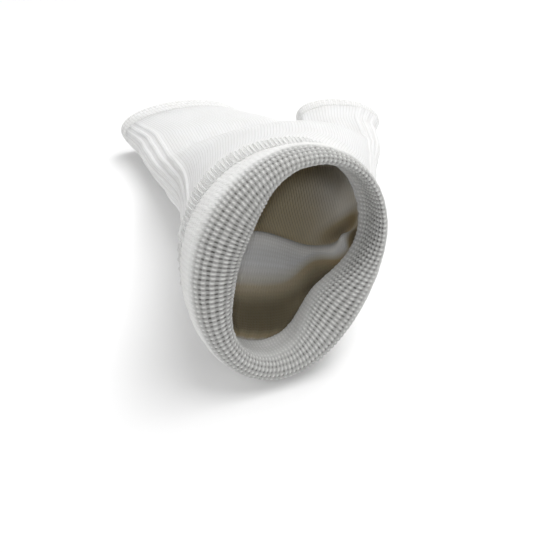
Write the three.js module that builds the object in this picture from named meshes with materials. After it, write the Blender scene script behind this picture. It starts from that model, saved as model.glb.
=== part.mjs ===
// Knitted wrist support sleeve, lying on a flat surface with its forearm cuff standing open.
// Millimetres, +Z up. The sleeve runs along +Y, from the cuff's mouth to the palm and thumb openings.
// Its little-finger side is at -X and its thumb side at +X. The origin is the centre of the footprint.
import * as THREE from "three";

// Knitted tube
const WALL = 2.0;
const RIB_HEIGHT = 0.7;
const RIB_PITCH_SHARE = 0.0165; // of the tube's girth
const RIBS_PER_SIDE = 7;
const FACE_STEPS = 8; // plain strips between the two ribbed sides, above and below
const SEWN_GAP = 0.3;
const KNIT_ROUGHNESS = 0.95;
const COLORS = { body: 0xe9e9e8, cuff: 0xe6e6e5, hem: 0xe4e4e3 };

// Forearm cuff: a thick ribbed roll, longer than it is deep
const CUFF_LONG = 15;
// The roll's depth at eight even places round the mouth, from the little-finger side over the top
const CUFF_DEPTHS = [12, 12.5, 5.2, 2.6, 3.6, 13, 8, 6.5];
const CUFF_MEAN_DEPTH = CUFF_DEPTHS.reduce((sum, depth) => sum + depth) / CUFF_DEPTHS.length;
const CUFF_PROUD = 0.2;
const CUFF_NOSE = 6; // length of the rounded front
const CUFF_NOSE_PULL = 2; // how far the nose's curve is drawn past the front
const CUFF_BACK_DEEP = 3; // flat back face that meets the body's edge
const CUFF_BACK_CORNER = { along: 12.75, depth: 5.6 }; // pulls of the rounded corner behind the roll
const CUFF_RIDGE = 0.5;
const CUFF_ROWS = 12;
const CUFF_AROUND = 64;

// The V between the palm and thumb openings
const NOTCH_ALONG = 118;
const NOTCH_SIDE = 18;
const NOTCH_WALL = 3; // knit left between the V and the hollow
const NOTCH_PINCH = 5.2; // how far each face closes up at the V
const NOTCH_SPREAD = 9;
const NOTCH_FADE = 26;
const NOTCH_FACE_STEP = 6; // the strip edge that runs into the V
const WEB_STEPS = 4;
const WEB_SHARE = 0.05; // half the web's share of a branch's girth

// Turned hems
const HEM_LONG = 5.5;
const HEM_PROUD = 0.4;
const HEM_DEEP = 2.8;
const HEM_ROUND = 0.7;
const HEM_CROWN = 0.12; // swell at the middle of the band

// The inward fold that crosses the hollow behind the cuff
const FOLD_SIDE = -13;
const FOLD_SPREAD = 25;

// Sections of the tube from the lip of the cuff to the hand. along runs down the sleeve. side, back and
// rise place the section's middle. yaw and lean turn its plane. half, top and bottom are its reach from
// the middle. square is 2 for an ellipse and more for a fuller shape. taper widens the top and narrows
// the bottom. skew slides the top to +X and the bottom to -X. fold lifts the underside inwards.
const SECTION_COLUMNS = [
  "along", "side", "back", "rise", "yaw", "lean",
  "half", "top", "bottom", "square", "taper", "skew", "fold",
];
const SECTION_ROWS = [
  [0, 1.6, 5.4, 33.6, 11, 17, 28.1, 31.2, 32.1, 2.0, 0.08, 5.6, 0],
  [8, 0.3, 13, 31.3, 11, 17, 28.6, 31.7, 32.6, 2.0, 0.08, 5.6, 0],
  [15, -1.0, 19.5, 29.3, 11, 17, 27.8, 30.3, 29.7, 2.05, 0.08, 4.5, 0],
  [21, 0.2, 25, 28.6, 11, 16, 28.6, 31.2, 28.1, 2.2, 0.06, 1.0, 0.5],
  [31, 2.3, 34, 27.6, 9.2, 13.5, 29.2, 28.7, 26.6, 2.15, 0.03, 1.5, 5],
  [37, 3.9, 40, 26.7, 7.5, 11.5, 29.8, 27.2, 25.2, 2.1, 0.01, 1.5, 15],
  [42, 5.5, 45, 26.0, 6, 10, 30.5, 26.0, 24.0, 2.1, 0, 1.5, 18],
  [53, 7.4, 56, 24.4, 4.4, 7.2, 31.5, 24.4, 23.6, 2.1, 0, 1.2, 6.5],
  [66, 9.2, 69, 22.1, 2.6, 4.4, 33.2, 22.1, 22.0, 2.1, 0, 0.9, 2.5],
  [82, 10.5, 85, 18.0, 1, 2, 37.0, 18.0, 18.3, 2.15, 0, 0.5, 0.5],
  [98, 12.2, 101, 12.2, 0, 0, 40.8, 12.2, 12.8, 2.25, 0, 0, 0],
  [109, 13.0, 112, 9.5, 0, 0, 43.2, 9.5, 10.1, 2.35, 0, 0, 0],
  [118, 12.5, 121, 9.3, 0, 0, 44.7, 9.3, 9.9, 2.4, 0, 0, 0],
];
const SECTIONS = SECTION_ROWS.map((row) => {
  return Object.fromEntries(SECTION_COLUMNS.map((name, i) => [name, row[i]]));
});

// The two openings' rims. left and right are a rim's ends across the sleeve, and leftLong and rightLong
// how far those ends lie beyond the V. rise and half are its height off the floor and half its depth.
// web is the end that faces the V, as a share of the rim's girth from its left end.
const PALM = {
  left: -38, right: 8, leftLong: 20.5, rightLong: 22.5, rise: 9.4, half: 9.7, square: 2.05, web: 0.5,
};
const THUMB = {
  left: 31, right: 61.5, leftLong: 21, rightLong: 11, rise: 8.4, half: 8.2, square: 2.15, web: 0,
};

const BODY_STATIONS = 26;
const BRANCH_STATIONS = 4;
const CURVE_STEPS = 120;

const { clamp, degToRad, lerp, smoothstep } = THREE.MathUtils;
const hill = (distance, spread) => Math.exp(-((distance / spread) ** 2));
const rounded = (value, square) => Math.sign(value) * Math.abs(value) ** (2 / square);

// Value of one column of SECTIONS at a station, on a smooth curve that doesn't overshoot the rows.
function columnAt(name, along) {
  const last = SECTIONS.length - 1;
  let row = 0;
  while (row < last - 1 && along > SECTIONS[row + 1].along) {
    row += 1;
  }
  const step = (i, column) => SECTIONS[i + 1][column] - SECTIONS[i][column];
  const slope = (i) => step(i, name) / step(i, "along");
  const tangent = (i) => {
    if (i === 0 || i === last) return slope(Math.min(i, last - 1));
    const product = slope(i - 1) * slope(i);
    return product > 0 ? (2 * product) / (slope(i - 1) + slope(i)) : 0;
  };
  const span = step(row, "along");
  const rise = step(row, name);
  const start = tangent(row) * span;
  const end = tangent(row + 1) * span;
  const t = (along - SECTIONS[row].along) / span;
  const square = 3 * rise - 2 * start - end;
  const cube = start + end - 2 * rise;
  return SECTIONS[row][name] + t * (start + t * (square + t * cube));
}

function sectionAt(along) {
  return Object.fromEntries(SECTION_COLUMNS.map((name) => [name, columnAt(name, along)]));
}

// How far the faces close towards each other near the V.
function pinchAt(x, along) {
  const near = smoothstep(along, NOTCH_ALONG - NOTCH_FADE, NOTCH_ALONG);
  return NOTCH_PINCH * near * hill(x - NOTCH_SIDE, NOTCH_SPREAD);
}

// A point of a section in its own plane. The angle is 180 degrees at the little-finger side, 90 on top.
function sectionPoint(section, angle, inset) {
  const up = rounded(Math.sin(angle), section.square);
  const reach = (up > 0 ? section.top : section.bottom) - inset;
  const half = (section.half - inset) * (1 + section.taper * up);
  const x = half * rounded(Math.cos(angle), section.square) + section.skew * up;
  const fold = section.fold * Math.max(0, -up) * hill(x - FOLD_SIDE, FOLD_SPREAD);
  const pinch = clamp(2 * up, -1, 1) * pinchAt(x, section.along);
  return new THREE.Vector2(x, reach * up + fold - pinch);
}

// Points of a section by their share of its girth, from its left end over the top and back underneath,
// each with the outward direction there. The upper and lower faces each take half of the shares.
function sectionPlaces(section, shares, inset) {
  const faces = [0, 1].map((face) => {
    const points = [];
    for (let i = 0; i <= CURVE_STEPS; i += 1) {
      points.push(sectionPoint(section, Math.PI * (1 - face - i / CURVE_STEPS), inset));
    }
    return new THREE.SplineCurve(points);
  });
  return shares.map((share) => {
    const face = share < 0.5 ? 0 : 1;
    const run = faces[face].getTangentAt(2 * share - face);
    return { at: faces[face].getPointAt(2 * share - face), out: new THREE.Vector2(-run.y, run.x) };
  });
}

// The knitted columns round the tube: ridges and grooves on the two ribbed sides, plain strips between.
function knitColumns() {
  const columns = [];
  const ribbed = RIBS_PER_SIDE * RIB_PITCH_SHARE;
  for (const side of [0, 0.5]) {
    for (let i = 0; i <= 2 * RIBS_PER_SIDE; i += 1) {
      const share = side + (i * RIB_PITCH_SHARE - ribbed) / 2;
      columns.push({ share: (share + 1) % 1, lift: i % 2 });
    }
    for (let i = 1; i < FACE_STEPS; i += 1) {
      columns.push({ share: side + ribbed / 2 + ((0.5 - ribbed) * i) / FACE_STEPS, lift: 0 });
    }
  }
  return columns;
}

// A ring round the tube at a station, inset from the outer face and kept off the surface it lies on.
function tubeRing(columns, along, inset, height) {
  const section = sectionAt(along);
  const yaw = degToRad(section.yaw);
  const lean = degToRad(section.lean);
  const across = new THREE.Vector3(Math.cos(yaw), Math.sin(yaw), 0);
  const away = new THREE.Vector3(-Math.sin(yaw), Math.cos(yaw), 0);
  const up = new THREE.Vector3(0, 0, Math.cos(lean)).addScaledVector(away, Math.sin(lean));
  const places = sectionPlaces(section, columns.map((column) => column.share), inset);
  return places.map(({ at, out }, i) => {
    at.addScaledVector(out, columns[i].lift * height);
    const point = new THREE.Vector3(section.side, section.back, section.rise);
    point.addScaledVector(across, at.x).addScaledVector(up, at.y);
    point.z = Math.max(point.z, inset, 0);
    return point;
  });
}

// A closed mesh made of rings of points joined by strips.
class Skin {
  points = [];
  faces = [];

  ring(points) {
    return points.map((point) => this.points.push(point) - 1);
  }

  // Joins two rings with faces that look outwards when the second lies further along the sleeve.
  strip(first, second) {
    first.forEach((corner, i) => {
      const j = (i + 1) % first.length;
      this.faces.push(corner, first[j], second[j], corner, second[j], second[i]);
    });
  }

  run(rings) {
    rings.slice(1).forEach((ring, i) => this.strip(rings[i], ring));
  }

  mesh(name, color) {
    const geometry = new THREE.BufferGeometry().setFromPoints(this.points);
    geometry.setIndex(this.faces);
    geometry.computeVertexNormals();
    const material = new THREE.MeshStandardMaterial({ color, roughness: KNIT_ROUGHNESS, metalness: 0 });
    const mesh = new THREE.Mesh(geometry, material);
    mesh.name = name;
    return mesh;
  }
}

const COLUMNS = knitColumns();
const RIB_EDGES = 2 * RIBS_PER_SIDE;
const TOP_NOTCH = RIB_EDGES + NOTCH_FACE_STEP;
const LOW_NOTCH = COLUMNS.length - NOTCH_FACE_STEP;
const NOTCH_SHARE = COLUMNS[TOP_NOTCH].share;

// The places in the tube's ring that each branch carries on from, in ring order, ending at the web.
const countOn = (from, count) => Array.from({ length: count }, (_, i) => (from + i) % COLUMNS.length);
PALM.columns = countOn(LOW_NOTCH, COLUMNS.length - LOW_NOTCH + TOP_NOTCH + 1);
THUMB.columns = countOn(TOP_NOTCH, LOW_NOTCH - TOP_NOTCH + 1);

// Share of a branch's girth, from its left end over the top, for each place of its ring.
function branchShares(branch) {
  const shares = branch.columns.map((index) => {
    const share = COLUMNS[index].share;
    if (branch === THUMB) {
      return lerp(WEB_SHARE, 1 - WEB_SHARE, (share - NOTCH_SHARE) / (1 - 2 * NOTCH_SHARE));
    }
    const fromSide = share < 0.5 ? share : share - 1;
    return (fromSide / NOTCH_SHARE) * (0.5 - WEB_SHARE);
  });
  for (let i = 1; i < WEB_STEPS; i += 1) {
    shares.push(branch.web + lerp(-WEB_SHARE, WEB_SHARE, i / WEB_STEPS));
  }
  return shares.map((share) => (share + 1) % 1);
}

// A ring round a branch. reach runs from 0 at the V to 1 at the rim, where the ring has the branch's own
// oval. root is the branch's start on the outer face and inner its start at the inset asked for.
function branchRing(branch, root, inner, reach, inset, height) {
  const half = (branch.right - branch.left) / 2;
  const { half: top, half: bottom, square } = branch;
  const oval = { along: 0, half, top, bottom, square, taper: 0, skew: 0, fold: 0 };
  const shares = branchShares(branch);
  const outside = sectionPlaces(oval, shares, 0);
  const inside = sectionPlaces(oval, shares, inset);
  const shape = smoothstep(reach, 0, 1);
  const wall = smoothstep(reach, 0, (2 * NOTCH_WALL) / branch.leftLong);
  return outside.map(({ at, out }, i) => {
    const lift = i < branch.columns.length ? COLUMNS[branch.columns[i]].lift * height : 0;
    const { x, y } = inside[i].at.sub(at);
    const long = lerp(branch.leftLong, branch.rightLong, (at.x + half) / (2 * half));
    at.addScaledVector(out, lift);
    const rim = new THREE.Vector3(branch.left + half + at.x, 0, branch.rise + at.y);
    const point = root[i].clone().lerp(rim, shape);
    point.x += lerp(inner[i].x - root[i].x, x, wall);
    point.z += lerp(inner[i].z - root[i].z, y, wall);
    point.y = lerp(inner[i].y, columnAt("back", NOTCH_ALONG) + long, reach);
    point.z = Math.max(point.z, inset, 0);
    return point;
  });
}

// Where a branch starts, at the V: its share of the tube's ring, and the web that closes it.
function branchRoot(branch, ring) {
  const points = branch.columns.map((index) => ring[index]);
  const [first, last] = [points[0], points.at(-1)];
  for (let i = 1; i < WEB_STEPS; i += 1) {
    points.push(last.clone().lerp(first, i / WEB_STEPS));
  }
  return points;
}

const notchAlong = (inset) => NOTCH_ALONG - (NOTCH_WALL * inset) / WALL;
const hemReach = (branch) => 1 - HEM_LONG / Math.max(branch.leftLong, branch.rightLong);

// One face of the body, outer or inner: the tube, then the palm and thumb branches from a shared web.
function bodyFace(skin, inset, height) {
  const outerEnd = tubeRing(COLUMNS, NOTCH_ALONG, 0, height);
  const tube = [];
  for (let i = 0; i <= BODY_STATIONS; i += 1) {
    const along = lerp(CUFF_LONG + SEWN_GAP, notchAlong(inset), i / BODY_STATIONS);
    tube.push(tubeRing(COLUMNS, along, inset, height));
  }
  const rings = tube.map((points) => skin.ring(points));
  const web = skin.ring(branchRoot(PALM, tube.at(-1)).slice(PALM.columns.length));
  const branches = [PALM, THUMB].map((branch) => {
    const root = branchRoot(branch, outerEnd);
    const inner = branchRoot(branch, tube.at(-1));
    const rootWeb = branch === PALM ? web : web.toReversed();
    const run = [[...branch.columns.map((index) => rings.at(-1)[index]), ...rootWeb]];
    const end = hemReach(branch) - SEWN_GAP / Math.min(branch.leftLong, branch.rightLong);
    for (let i = 1; i <= BRANCH_STATIONS; i += 1) {
      run.push(skin.ring(branchRing(branch, root, inner, (end * i) / BRANCH_STATIONS, inset, height)));
    }
    return run;
  });
  return { rings, branches };
}

function sleeveBody() {
  const skin = new Skin();
  const outer = bodyFace(skin, 0, RIB_HEIGHT);
  const inner = bodyFace(skin, WALL, 0);
  skin.run([...inner.rings.toReversed(), ...outer.rings]);
  outer.branches.forEach((run, i) => skin.run([...run, ...inner.branches[i].toReversed()]));
  return skin.mesh("sleeve_body", COLORS.body);
}

// The roll's depth round the mouth: full where it curls over and stretched thin on the upper thumb side.
const depthPlaces = CUFF_DEPTHS.map((depth) => new THREE.Vector3(depth, 0, 0));
const depthCurve = new THREE.CatmullRomCurve3(depthPlaces, true, "catmullrom");
const cuffDepth = (share) => depthCurve.getPoint(share).x;

// The roll's section at its mean depth: forwards up the inside from its back face, round the nose and
// back along the outside, with a ridge for each knitted row.
function cuffProfile() {
  const path = new THREE.Path();
  const deep = CUFF_MEAN_DEPTH;
  const corner = CUFF_BACK_CORNER;
  path.moveTo(CUFF_LONG, CUFF_BACK_DEEP);
  path.bezierCurveTo(CUFF_LONG, corner.depth, corner.along, deep, CUFF_NOSE, deep);
  path.bezierCurveTo(-CUFF_NOSE_PULL, deep, -CUFF_NOSE_PULL, -CUFF_PROUD, CUFF_NOSE, -CUFF_PROUD);
  path.lineTo(CUFF_LONG, -CUFF_PROUD);
  const edges = 2 * CUFF_ROWS;
  return path.getSpacedPoints(edges).map((point, i) => {
    const run = path.getTangentAt(i / edges);
    const ridge = CUFF_RIDGE * (i % 2);
    return { along: point.x + run.y * ridge, depth: point.y - run.x * ridge };
  });
}

function forearmCuff() {
  const skin = new Skin();
  const columns = [];
  for (let i = 0; i < CUFF_AROUND; i += 1) {
    const share = i / CUFF_AROUND;
    columns.push({ share, lift: -cuffDepth(share) / CUFF_MEAN_DEPTH });
  }
  const rings = cuffProfile().map(({ along, depth }) => skin.ring(tubeRing(columns, along, 0, depth)));
  skin.run([...rings, rings[0]]);
  return skin.mesh("forearm_cuff", COLORS.cuff);
}

// A turned hem: a flat band with rounded edges that carries a branch on to its rim.
function hem(name, branch) {
  const skin = new Skin();
  const round = HEM_ROUND / HEM_LONG;
  const profile = [
    { share: 0, inset: HEM_DEEP },
    { share: 0, inset: -HEM_PROUD },
    { share: 0.5, inset: -HEM_PROUD - HEM_CROWN },
    { share: 1 - round, inset: -HEM_PROUD },
    { share: 1, inset: HEM_ROUND - HEM_PROUD },
    { share: 1, inset: HEM_DEEP - HEM_ROUND },
    { share: 1 - round, inset: HEM_DEEP },
    { share: 0.5, inset: HEM_DEEP + HEM_CROWN },
  ];
  const root = branchRoot(branch, tubeRing(COLUMNS, NOTCH_ALONG, 0, 0));
  const rings = profile.map(({ share, inset }) => {
    const inner = branchRoot(branch, tubeRing(COLUMNS, notchAlong(inset), inset, 0));
    return skin.ring(branchRing(branch, root, inner, lerp(hemReach(branch), 1, share), inset, 0));
  });
  skin.run([...rings, rings[0]]);
  return skin.mesh(name, COLORS.hem);
}

const sleeve = new THREE.Group();
sleeve.name = "wrist_support_sleeve";
sleeve.add(sleeveBody(), forearmCuff(), hem("palm_hem", PALM), hem("thumb_hem", THUMB));
const middle = new THREE.Box3().setFromObject(sleeve).getCenter(new THREE.Vector3());
sleeve.position.set(-middle.x, -middle.y, 0);

export default sleeve;
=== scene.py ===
"""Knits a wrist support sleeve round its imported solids: ribbed walls, stitched cuff, hems and threads."""

import math

import bpy
import numpy as np
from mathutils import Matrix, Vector


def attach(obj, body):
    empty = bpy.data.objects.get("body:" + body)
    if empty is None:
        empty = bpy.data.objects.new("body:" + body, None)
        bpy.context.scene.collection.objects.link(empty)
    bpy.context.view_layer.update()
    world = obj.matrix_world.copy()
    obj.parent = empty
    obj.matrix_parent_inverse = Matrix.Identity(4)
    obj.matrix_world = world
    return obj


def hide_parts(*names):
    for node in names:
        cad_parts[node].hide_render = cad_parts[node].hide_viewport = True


bl_info = {
    "name": "Knitted wrist sleeve",
    "version": (1, 0, 0),
    "blender": (4, 5, 0),
    "location": "3D View > Sidebar > Wrist Sleeve",
    "description": "Knits a wrist support sleeve with a ribbed cuff, hems and seam threads",
    "category": "Mesh",
}

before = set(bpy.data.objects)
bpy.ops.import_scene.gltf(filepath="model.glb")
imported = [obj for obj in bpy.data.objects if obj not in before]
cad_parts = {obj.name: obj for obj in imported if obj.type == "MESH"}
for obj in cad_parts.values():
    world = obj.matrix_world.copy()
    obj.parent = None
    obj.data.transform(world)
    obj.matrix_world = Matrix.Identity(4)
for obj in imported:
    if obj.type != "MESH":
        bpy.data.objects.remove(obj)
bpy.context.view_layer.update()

MM = 0.001
STITCH_MAP = "Stitches"
MASK = "Mask"
WARM = "Warm"
BODY = "root"
WHITE = (1, 1, 1)

# Sections of the tube, in millimetres and degrees, from the lip of the cuff to the hand. side, back and
# rise place the middle, yaw and lean turn the plane, half, top and bottom reach out from the middle,
# square fills the oval, taper and skew shift its top, and fold lifts the underside inwards.
SECTION_COLUMNS = (
    "along", "side", "back", "rise", "yaw", "lean",
    "half", "top", "bottom", "square", "taper", "skew", "fold",
)
SECTION_ROWS = np.array([
    (0, 1.6, 5.4, 33.6, 11, 17, 28.1, 31.2, 32.1, 2.0, 0.08, 5.6, 0),
    (8, 0.3, 13, 31.3, 11, 17, 28.6, 31.7, 32.6, 2.0, 0.08, 5.6, 0),
    (15, -1.0, 19.5, 29.3, 11, 17, 27.8, 30.3, 29.7, 2.05, 0.08, 4.5, 0),
    (21, 0.2, 25, 28.6, 11, 16, 28.6, 31.2, 28.1, 2.2, 0.06, 1.0, 0.5),
    (31, 2.3, 34, 27.6, 9.2, 13.5, 29.2, 28.7, 26.6, 2.15, 0.03, 1.5, 5),
    (37, 3.9, 40, 26.7, 7.5, 11.5, 29.8, 27.2, 25.2, 2.1, 0.01, 1.5, 15),
    (42, 5.5, 45, 26.0, 6, 10, 30.5, 26.0, 24.0, 2.1, 0, 1.5, 18),
    (53, 7.4, 56, 24.4, 4.4, 7.2, 31.5, 24.4, 23.6, 2.1, 0, 1.2, 6.5),
    (66, 9.2, 69, 22.1, 2.6, 4.4, 33.2, 22.1, 22.0, 2.1, 0, 0.9, 2.5),
    (82, 10.5, 85, 18.0, 1, 2, 37.0, 18.0, 18.3, 2.15, 0, 0.5, 0.5),
    (98, 12.2, 101, 12.2, 0, 0, 40.8, 12.2, 12.8, 2.25, 0, 0, 0),
    (109, 13.0, 112, 9.5, 0, 0, 43.2, 9.5, 10.1, 2.35, 0, 0, 0),
    (118, 12.5, 121, 9.3, 0, 0, 44.7, 9.3, 9.9, 2.4, 0, 0, 0),
], float)
# The point of these sections that is the frame's origin
FOOTPRINT_MIDDLE = np.array((11.7512, 69.0141, 0.0))

# The rims of the two openings, and their place on the V between them
PALM = {
    "left": -38, "right": 8, "left_long": 20.5, "right_long": 22.5,
    "rise": 9.4, "half": 9.7, "square": 2.05, "web": 0.5,
}
THUMB = {
    "left": 31, "right": 61.5, "left_long": 21, "right_long": 11,
    "rise": 8.4, "half": 8.2, "square": 2.15, "web": 0.0,
}
HEMS = {"palm_hem": PALM, "thumb_hem": THUMB}

# Ribs along both sides: their pitch and band as shares of the girth, their height on the lining, and what
# they lose of it towards the hems
RIB_COUNT = 7
RIB_PITCH_SHARE = 0.0165
RIBBED_SHARE = RIB_COUNT * RIB_PITCH_SHARE
LINING_RIBS = 0.45
BRANCH_RIB_LOSS = 0.7
# The V between the openings, the pinch of the tube before it, and the web that closes each branch
NOTCH_ALONG = 118
NOTCH_SIDE = 18
NOTCH_WALL = 3
NOTCH_PINCH = 5.2
NOTCH_SPREAD = 9
NOTCH_FADE = 26
NOTCH_PLACE = 0.75
NOTCH_SHARE = RIBBED_SHARE / 2 + (0.5 - RIBBED_SHARE) * NOTCH_PLACE
WEB_SHARE = 0.05
BRANCH_LONG = 15.5
# The inward fold across the tube, the tube's wall, and the gap at its seams
FOLD_SIDE = -13
FOLD_SPREAD = 25
WALL = 2.0
SEWN_GAP = 0.3
# Waves of the cloth's unevenness: their height, how many go round, and how they turn and swell along the
# sleeve, in radians a millimetre
WANDER_WAVES = (
    {"high": 1.0, "round": 3, "turn": 0.11, "start": 0, "swell": 0.083, "swell_start": 1},
    {"high": 0.6, "round": 7, "turn": -0.16, "start": 2, "swell": 0.21, "swell_start": 0},
    {"high": 0.3, "round": 17, "turn": 0.3, "start": 0, "swell": 0, "swell_start": math.pi / 2},
)
# Gathers behind the cuff's seam: their height, how many go round and how unevenly, and where along they fade
PUCKER = {"high": 0.14, "round": 43, "uneven": 1.3, "uneven_round": 5, "behind": 3, "long": 5}
# Length behind the seam over which the cloth comes loose
LOOSE_LONG = 4

# The roll: its length, its depths round the mouth, its height over the tube, where its nose starts and how
# far the nose is pulled out, and the depth and corner of its back
CUFF_LONG = 15
CUFF_DEPTHS = np.array((12, 12.5, 5.2, 2.6, 3.6, 13, 8, 6.5))
CUFF_MEAN_DEPTH = CUFF_DEPTHS.mean()
CUFF_PROUD = 0.2
CUFF_NOSE = 6
CUFF_NOSE_PULL = 2
CUFF_BACK_DEEP = 3
CUFF_BACK_CORNER = {"along": 12.75, "depth": 5.6}
# The overlock seam: its turns round the sleeve, where along it lies and how far its zigzags swing, how square
# they are, and how far the thread lifts in a zigzag, where it crosses itself and over the cuff
OVERLOCK_TURNS = 2
OVERLOCK_ALONG = 17.9
OVERLOCK_SWING = 2.9
OVERLOCK_SQUARE = 2.6
OVERLOCK_LIFT = 0.16
OVERLOCK_CROSS = 0.14
OVERLOCK_CUFF_LIFT = 0.9
# The turned hems, and their rows of stitches: place as a share of the hem, height over it, and how thick the
# thread is beside the cuff's
HEM_LONG = 5.5
HEM_PROUD = 0.4
HEM_DEEP = 2.8
HEM_SQUARE = 5
HEM_ROWS = (0.3, 0.62)
HEM_THREAD_LIFT = 0.05
HEM_THREAD_SHARE = 0.9
# How much thinner one hem stitch gets at its ends, and how many radii it dips there
STITCH_TAPER = 0.45
STITCH_DIP = 2.2

# Row of the cuff, counted from its inner edge, where the stitches open up most, the rows beside it that
# open fully and those that fade out. On the thumb side all of it lies further in and fades more slowly,
# and at the top further out.
OPEN_ROW = 12.1
OPEN_FULL = 1.45
OPEN_FADE = 2.55
OPEN_THUMB = {"share": 0.47, "spread": 0.15, "rows": 3.1, "fade": 4.8}
OPEN_TOP = {"share": 0.27, "spread": 0.08, "rows": 2.0}
# Rows over which the wales flatten towards the seam
FLAT_ROWS = (14.8, 17.6)
# Where round the mouth, and again opposite, the stitches are stretched most, and how much that opens them
STRETCH = {"share": 0.03, "mean": 0.87, "swing": 0.13}
# Heights of the cuff's stitches as shares of the relief. Knotted ones rise from a low point across the wale
# and along the row. Ridged ones are low wales, with grooves that deepen as they start to open. Flat ones lie
# by the seam.
KNOTTED = {"low": 0.1, "across": 0.85, "along": 0.75}
RIDGED = {"level": 0.5, "across": 0.1, "open_across": 0.32, "open_sunk": 0.15, "open_gain": 3}
FLAT = {"level": 0.5, "across": 0.12, "along": 0.2}
# How full a stitch is, and the sizes that stitches vary between
STITCH_FULL = {"across": 0.9, "along": 0.8}
STITCH_SIZES = (0.8, 1.15)
STITCH_SEED = 5

# Where the fold's end curls into the hollow, and how far
CURL = {"share": 0.61, "spread": 0.022, "along": 41, "long": 4.5, "deep": 3.0}
# Painted shade of the lining, standing for the shade inside the hollow: the least, a painted highlight along
# the fold's crest, and the shade that turns brown. It is full in the pocket before the fold, which starts
# behind the cuff, reaches further on the thumb side and is lighter on the bulge there, and it is dark beside
# the fold's curled end. Behind the fold it turns to a painted warm light, and the thumb-side wall there gets
# painted light.
LINING_SHADE = 0.1
CREST = {"along": 40.3, "long": 2.0, "light": 0.95}
BROWN_SHADE = 0.45
POCKET_START = (15.5, 21.5)
POCKET_STATIONS = (27, 37)
POCKET_THUMB = {"share": 0.675, "spread": 0.05, "stations": 5}
BULGE = {"share": 0.64, "spread": 0.07, "stations": (27, 32), "light": 0.85}
CURL_SHADES = (
    {"share": 0.62, "spread": 0.05, "along": 54, "long": 8, "dark": 0.9},
    {"share": 0.575, "spread": 0.018, "along": 36, "long": 9, "dark": 0.9},
)
# Where the painted warm light starts behind the fold, and the painted light on the thumb-side wall there
BEHIND_STATIONS = (44, 50)
THUMB_WALL = {"share": 0.59, "spread": 0.08, "light": 0.95, "warm": 0.08}

# Plain loops: slant of their legs, height of the yarn, and the shares of a loop between which the groove
# beside it and the wider painted shade line of the wale fade. Low yarn is painted darker as shade in the
# gaps.
LOOP_SLANT = 0.9
LOOP_YARN = 0.6
LOOP_GROOVE = (0.0, 0.2)
LOOP_WALE = (0.1, 0.45)
# Thick rib: how far its stitches sway, the shares of a stitch between which its painted shade in grooves and
# between rows and its painted highlight on knots fade, how much its painted holes vary, and the twist of its
# yarn
RIB_SWAY = 0.35
RIB_SWAY_SCALE = 0.6
RIB_GROOVE = (0.05, 0.36)
RIB_ROW = (0.08, 0.36)
RIB_KNOT = {"across": (0.2, 0.48), "along": (0.1, 0.45)}
RIB_HOLE_CHANCE = 0.35
RIB_TWIST = {"across": 3.0, "along": 1.6}
# Lint: waves of its fibres and of its mottling in a metre, and where the mottling fades
FIBRE_SCALE = 2600.0
MOTTLE_SCALE = 90.0
MOTTLE_FADE = (0.35, 0.7)
# How strongly each finish shows its marks, and the depth of its bump in millimetres. The knits' marks are
# painted shade in gaps, grooves and between rows and a painted highlight on the rib's knots; the thread's
# marks are its darker fibres.
PLAIN_MARKS = {"gap": 0.4, "wale": 0.5, "wale_fade": (0.0, 0.3), "bump": 0.2}
RIB_MARKS = {
    "knot": 0.55, "groove": 0.05, "open_groove": 0.1, "groove_fade": (0.0, 0.4), "row": 0.2, "bump": 0.08,
}
THREAD_MARKS = {"dark": 0.85, "bump": 0.05}
# Yarn: tint and share of the mottling, height of the fibres, and how rough it is at least and varies
YARN_STAIN = (0.95, 0.945, 0.93)
YARN_MOTTLE = 0.5
YARN_FUZZ = 0.5
YARN_ROUGH = 0.88
YARN_ROUGH_RANGE = 0.08

# Each light's kind, place, aim and size, in metres. The last is a narrow beam. Then the floor and the camera.
SLEEVE_MIDDLE = (0, 0, 0.02)
MOUTH_MIDDLE = (-0.012, -0.045, 0.03)
MOUTH_BEAM = {"spot_size": math.radians(5), "spot_blend": 0.7, "shadow_soft_size": 0.08}
LIGHTS = {
    "top": ("AREA", (0.35, 0.05, 1.3), SLEEVE_MIDDLE, {"size": 1.0}),
    "key": ("AREA", (0.7, 0.6, 1.2), SLEEVE_MIDDLE, {"size": 0.8}),
    "fill": ("AREA", (-0.55, -0.65, 0.75), SLEEVE_MIDDLE, {"size": 0.4}),
    "mouth": ("SPOT", (-0.165, -0.83, 0.55), MOUTH_MIDDLE, MOUTH_BEAM),
}
FLOOR_SIZE = 6
FLOOR_ROUGH = 0.8
FLOOR_ROUGH_RANGE = 0.05
CAMERA_CLIP = (0.01, 20)

# How finely the knit and the threads are meshed, the length of knit between a hem's rings, and how close
# corners are merged, in millimetres
CURVE_STEPS = 240
PALM_COLUMNS = 250
THUMB_COLUMNS = 110
WEB_COLUMNS = 8
BODY_STATIONS = 90
BRANCH_STATIONS = 18
STITCH_COLUMNS = 5
ROW_RINGS = 5
CUFF_INSIDE_STEPS = 60
CUFF_NOSE_STEPS = 90
CUFF_BACK_RINGS = 3
HEM_RINGS = 30
HEM_RING_LONG = 0.5
OVERLOCK_STEPS = 20
STITCH_STEPS = 8
STITCH_SIDES = 6
STITCH_CUTS = 5
MERGE = 0.002


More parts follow.
